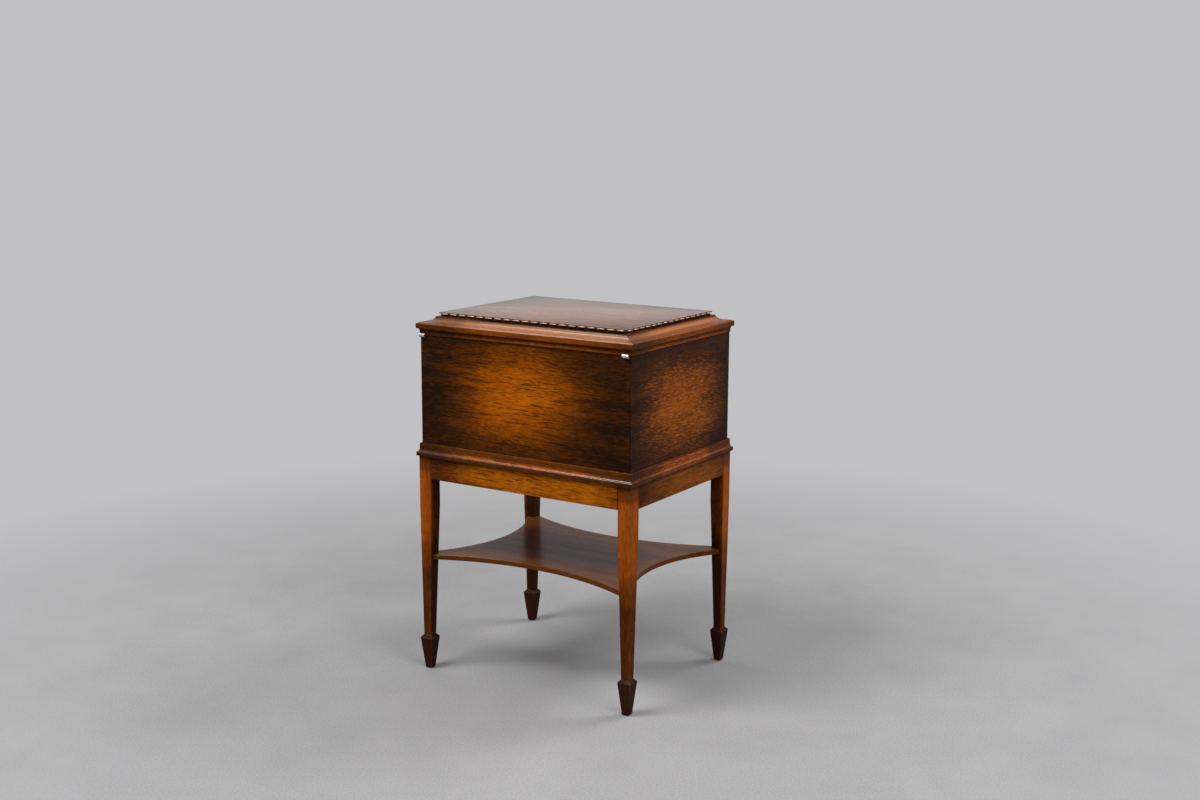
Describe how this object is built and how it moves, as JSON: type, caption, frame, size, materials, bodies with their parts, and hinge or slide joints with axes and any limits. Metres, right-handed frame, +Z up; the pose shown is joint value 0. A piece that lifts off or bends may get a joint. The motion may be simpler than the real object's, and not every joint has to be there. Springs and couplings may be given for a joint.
{
  "type": "cutlery cabinet",
  "caption": "Oak cutlery cabinet on a stand: a hinged coved lid over a fitted compartment, fitted drawers with drop handles, and square tapered legs joined by a hollow-sided undertier.",
  "frame": {"origin": "on the floor, at the centre of the footprint", "axes": "+X to the object's right seen from its front, +Y to its back, +Z up; the drawers open towards -Y"},
  "size_m": [0.5354, 0.4252, 0.778],
  "materials": {
    "oak": "shaded french polish",
    "dark_oak": "dark french polish",
    "brass": "aged satin",
    "silvered": "bright plated",
    "baize": "felted",
    "satin": "padded satin"
  },
  "bodies": {
    "cabinet": {"leg_front_left": "oak", "leg_front_right": "oak", "leg_back_left": "oak", "leg_back_right": "oak", "spade_feet": "dark_oak", "apron_front": "oak", "apron_back": "oak", "apron_left": "oak", "apron_right": "oak", "corner_blocks": "oak", "stand_screws": "silvered", "undertier": "oak", "undertier_dowels": "oak", "base_moulding_front": "oak", "base_moulding_back": "oak", "base_moulding_left": "oak", "base_moulding_right": "oak", "side_left": "oak", "side_right": "oak", "back_panel": "oak", "bottom_board": "oak", "compartment_floor": "oak", "stile_left": "oak", "stile_right": "oak", "front_board": "oak", "middle_rail": "oak", "bottom_rail": "oak", "drawer_runners": "oak", "cutlery_rack": "baize", "lock_case": "brass", "escutcheon": "brass", "hinge_lower_leaves": "silvered", "hinge_pins": "silvered", "hinge_lower_screws": "silvered"},
    "lid": {"lid_board": "oak", "lid_moulding_front": "oak", "lid_moulding_back": "oak", "lid_moulding_left": "oak", "lid_moulding_right": "oak", "lid_pad": "satin", "hinge_upper_leaves": "silvered", "hinge_upper_screws": "silvered", "lock_catch": "brass"},
    "bolt": {"lock_bolt": "silvered"},
    "upper_drawer": {"upper_drawer_front": "oak", "upper_drawer_sides": "oak", "upper_drawer_back": "oak", "upper_drawer_bottom": "oak", "upper_drawer_rack": "baize", "upper_handle_posts": "brass"},
    "upper_bail_left": {"upper_bail_left": "brass"},
    "upper_bail_right": {"upper_bail_right": "brass"},
    "lower_drawer": {"lower_drawer_front": "oak", "lower_drawer_sides": "oak", "lower_drawer_back": "oak", "lower_drawer_bottom": "oak", "lower_drawer_rack": "baize", "lower_handle_posts": "brass"},
    "lower_bail_left": {"lower_bail_left": "brass"},
    "lower_bail_right": {"lower_bail_right": "brass"}
  },
  "joints": [
    {"name": "lid_hinge", "type": "hinge", "parent": "cabinet", "child": "lid", "pos_m": [0, 0.2081, 0.73165], "axis": [-1, 0, 0], "range_deg": [0, 95]},
    {"name": "bolt_slide", "type": "slide", "parent": "cabinet", "child": "bolt", "axis": [1, 0, 0], "range_m": [0, 0.005]},
    {"name": "upper_drawer_slide", "type": "slide", "parent": "cabinet", "child": "upper_drawer", "axis": [0, -1, 0], "range_m": [0, 0.3]},
    {"name": "upper_bail_left_swing", "type": "hinge", "parent": "upper_drawer", "child": "upper_bail_left", "pos_m": [-0.115, -0.2076, 0.624], "axis": [-1, 0, 0], "range_deg": [-15, 95]},
    {"name": "upper_bail_right_swing", "type": "hinge", "parent": "upper_drawer", "child": "upper_bail_right", "pos_m": [0.115, -0.2076, 0.624], "axis": [-1, 0, 0], "range_deg": [-15, 95]},
    {"name": "lower_drawer_slide", "type": "slide", "parent": "cabinet", "child": "lower_drawer", "axis": [0, -1, 0], "range_m": [0, 0.3]},
    {"name": "lower_bail_left_swing", "type": "hinge", "parent": "lower_drawer", "child": "lower_bail_left", "pos_m": [-0.115, -0.2076, 0.545], "axis": [-1, 0, 0], "range_deg": [-15, 95]},
    {"name": "lower_bail_right_swing", "type": "hinge", "parent": "lower_drawer", "child": "lower_bail_right", "pos_m": [0.115, -0.2076, 0.545], "axis": [-1, 0, 0], "range_deg": [-15, 95]}
  ]
}
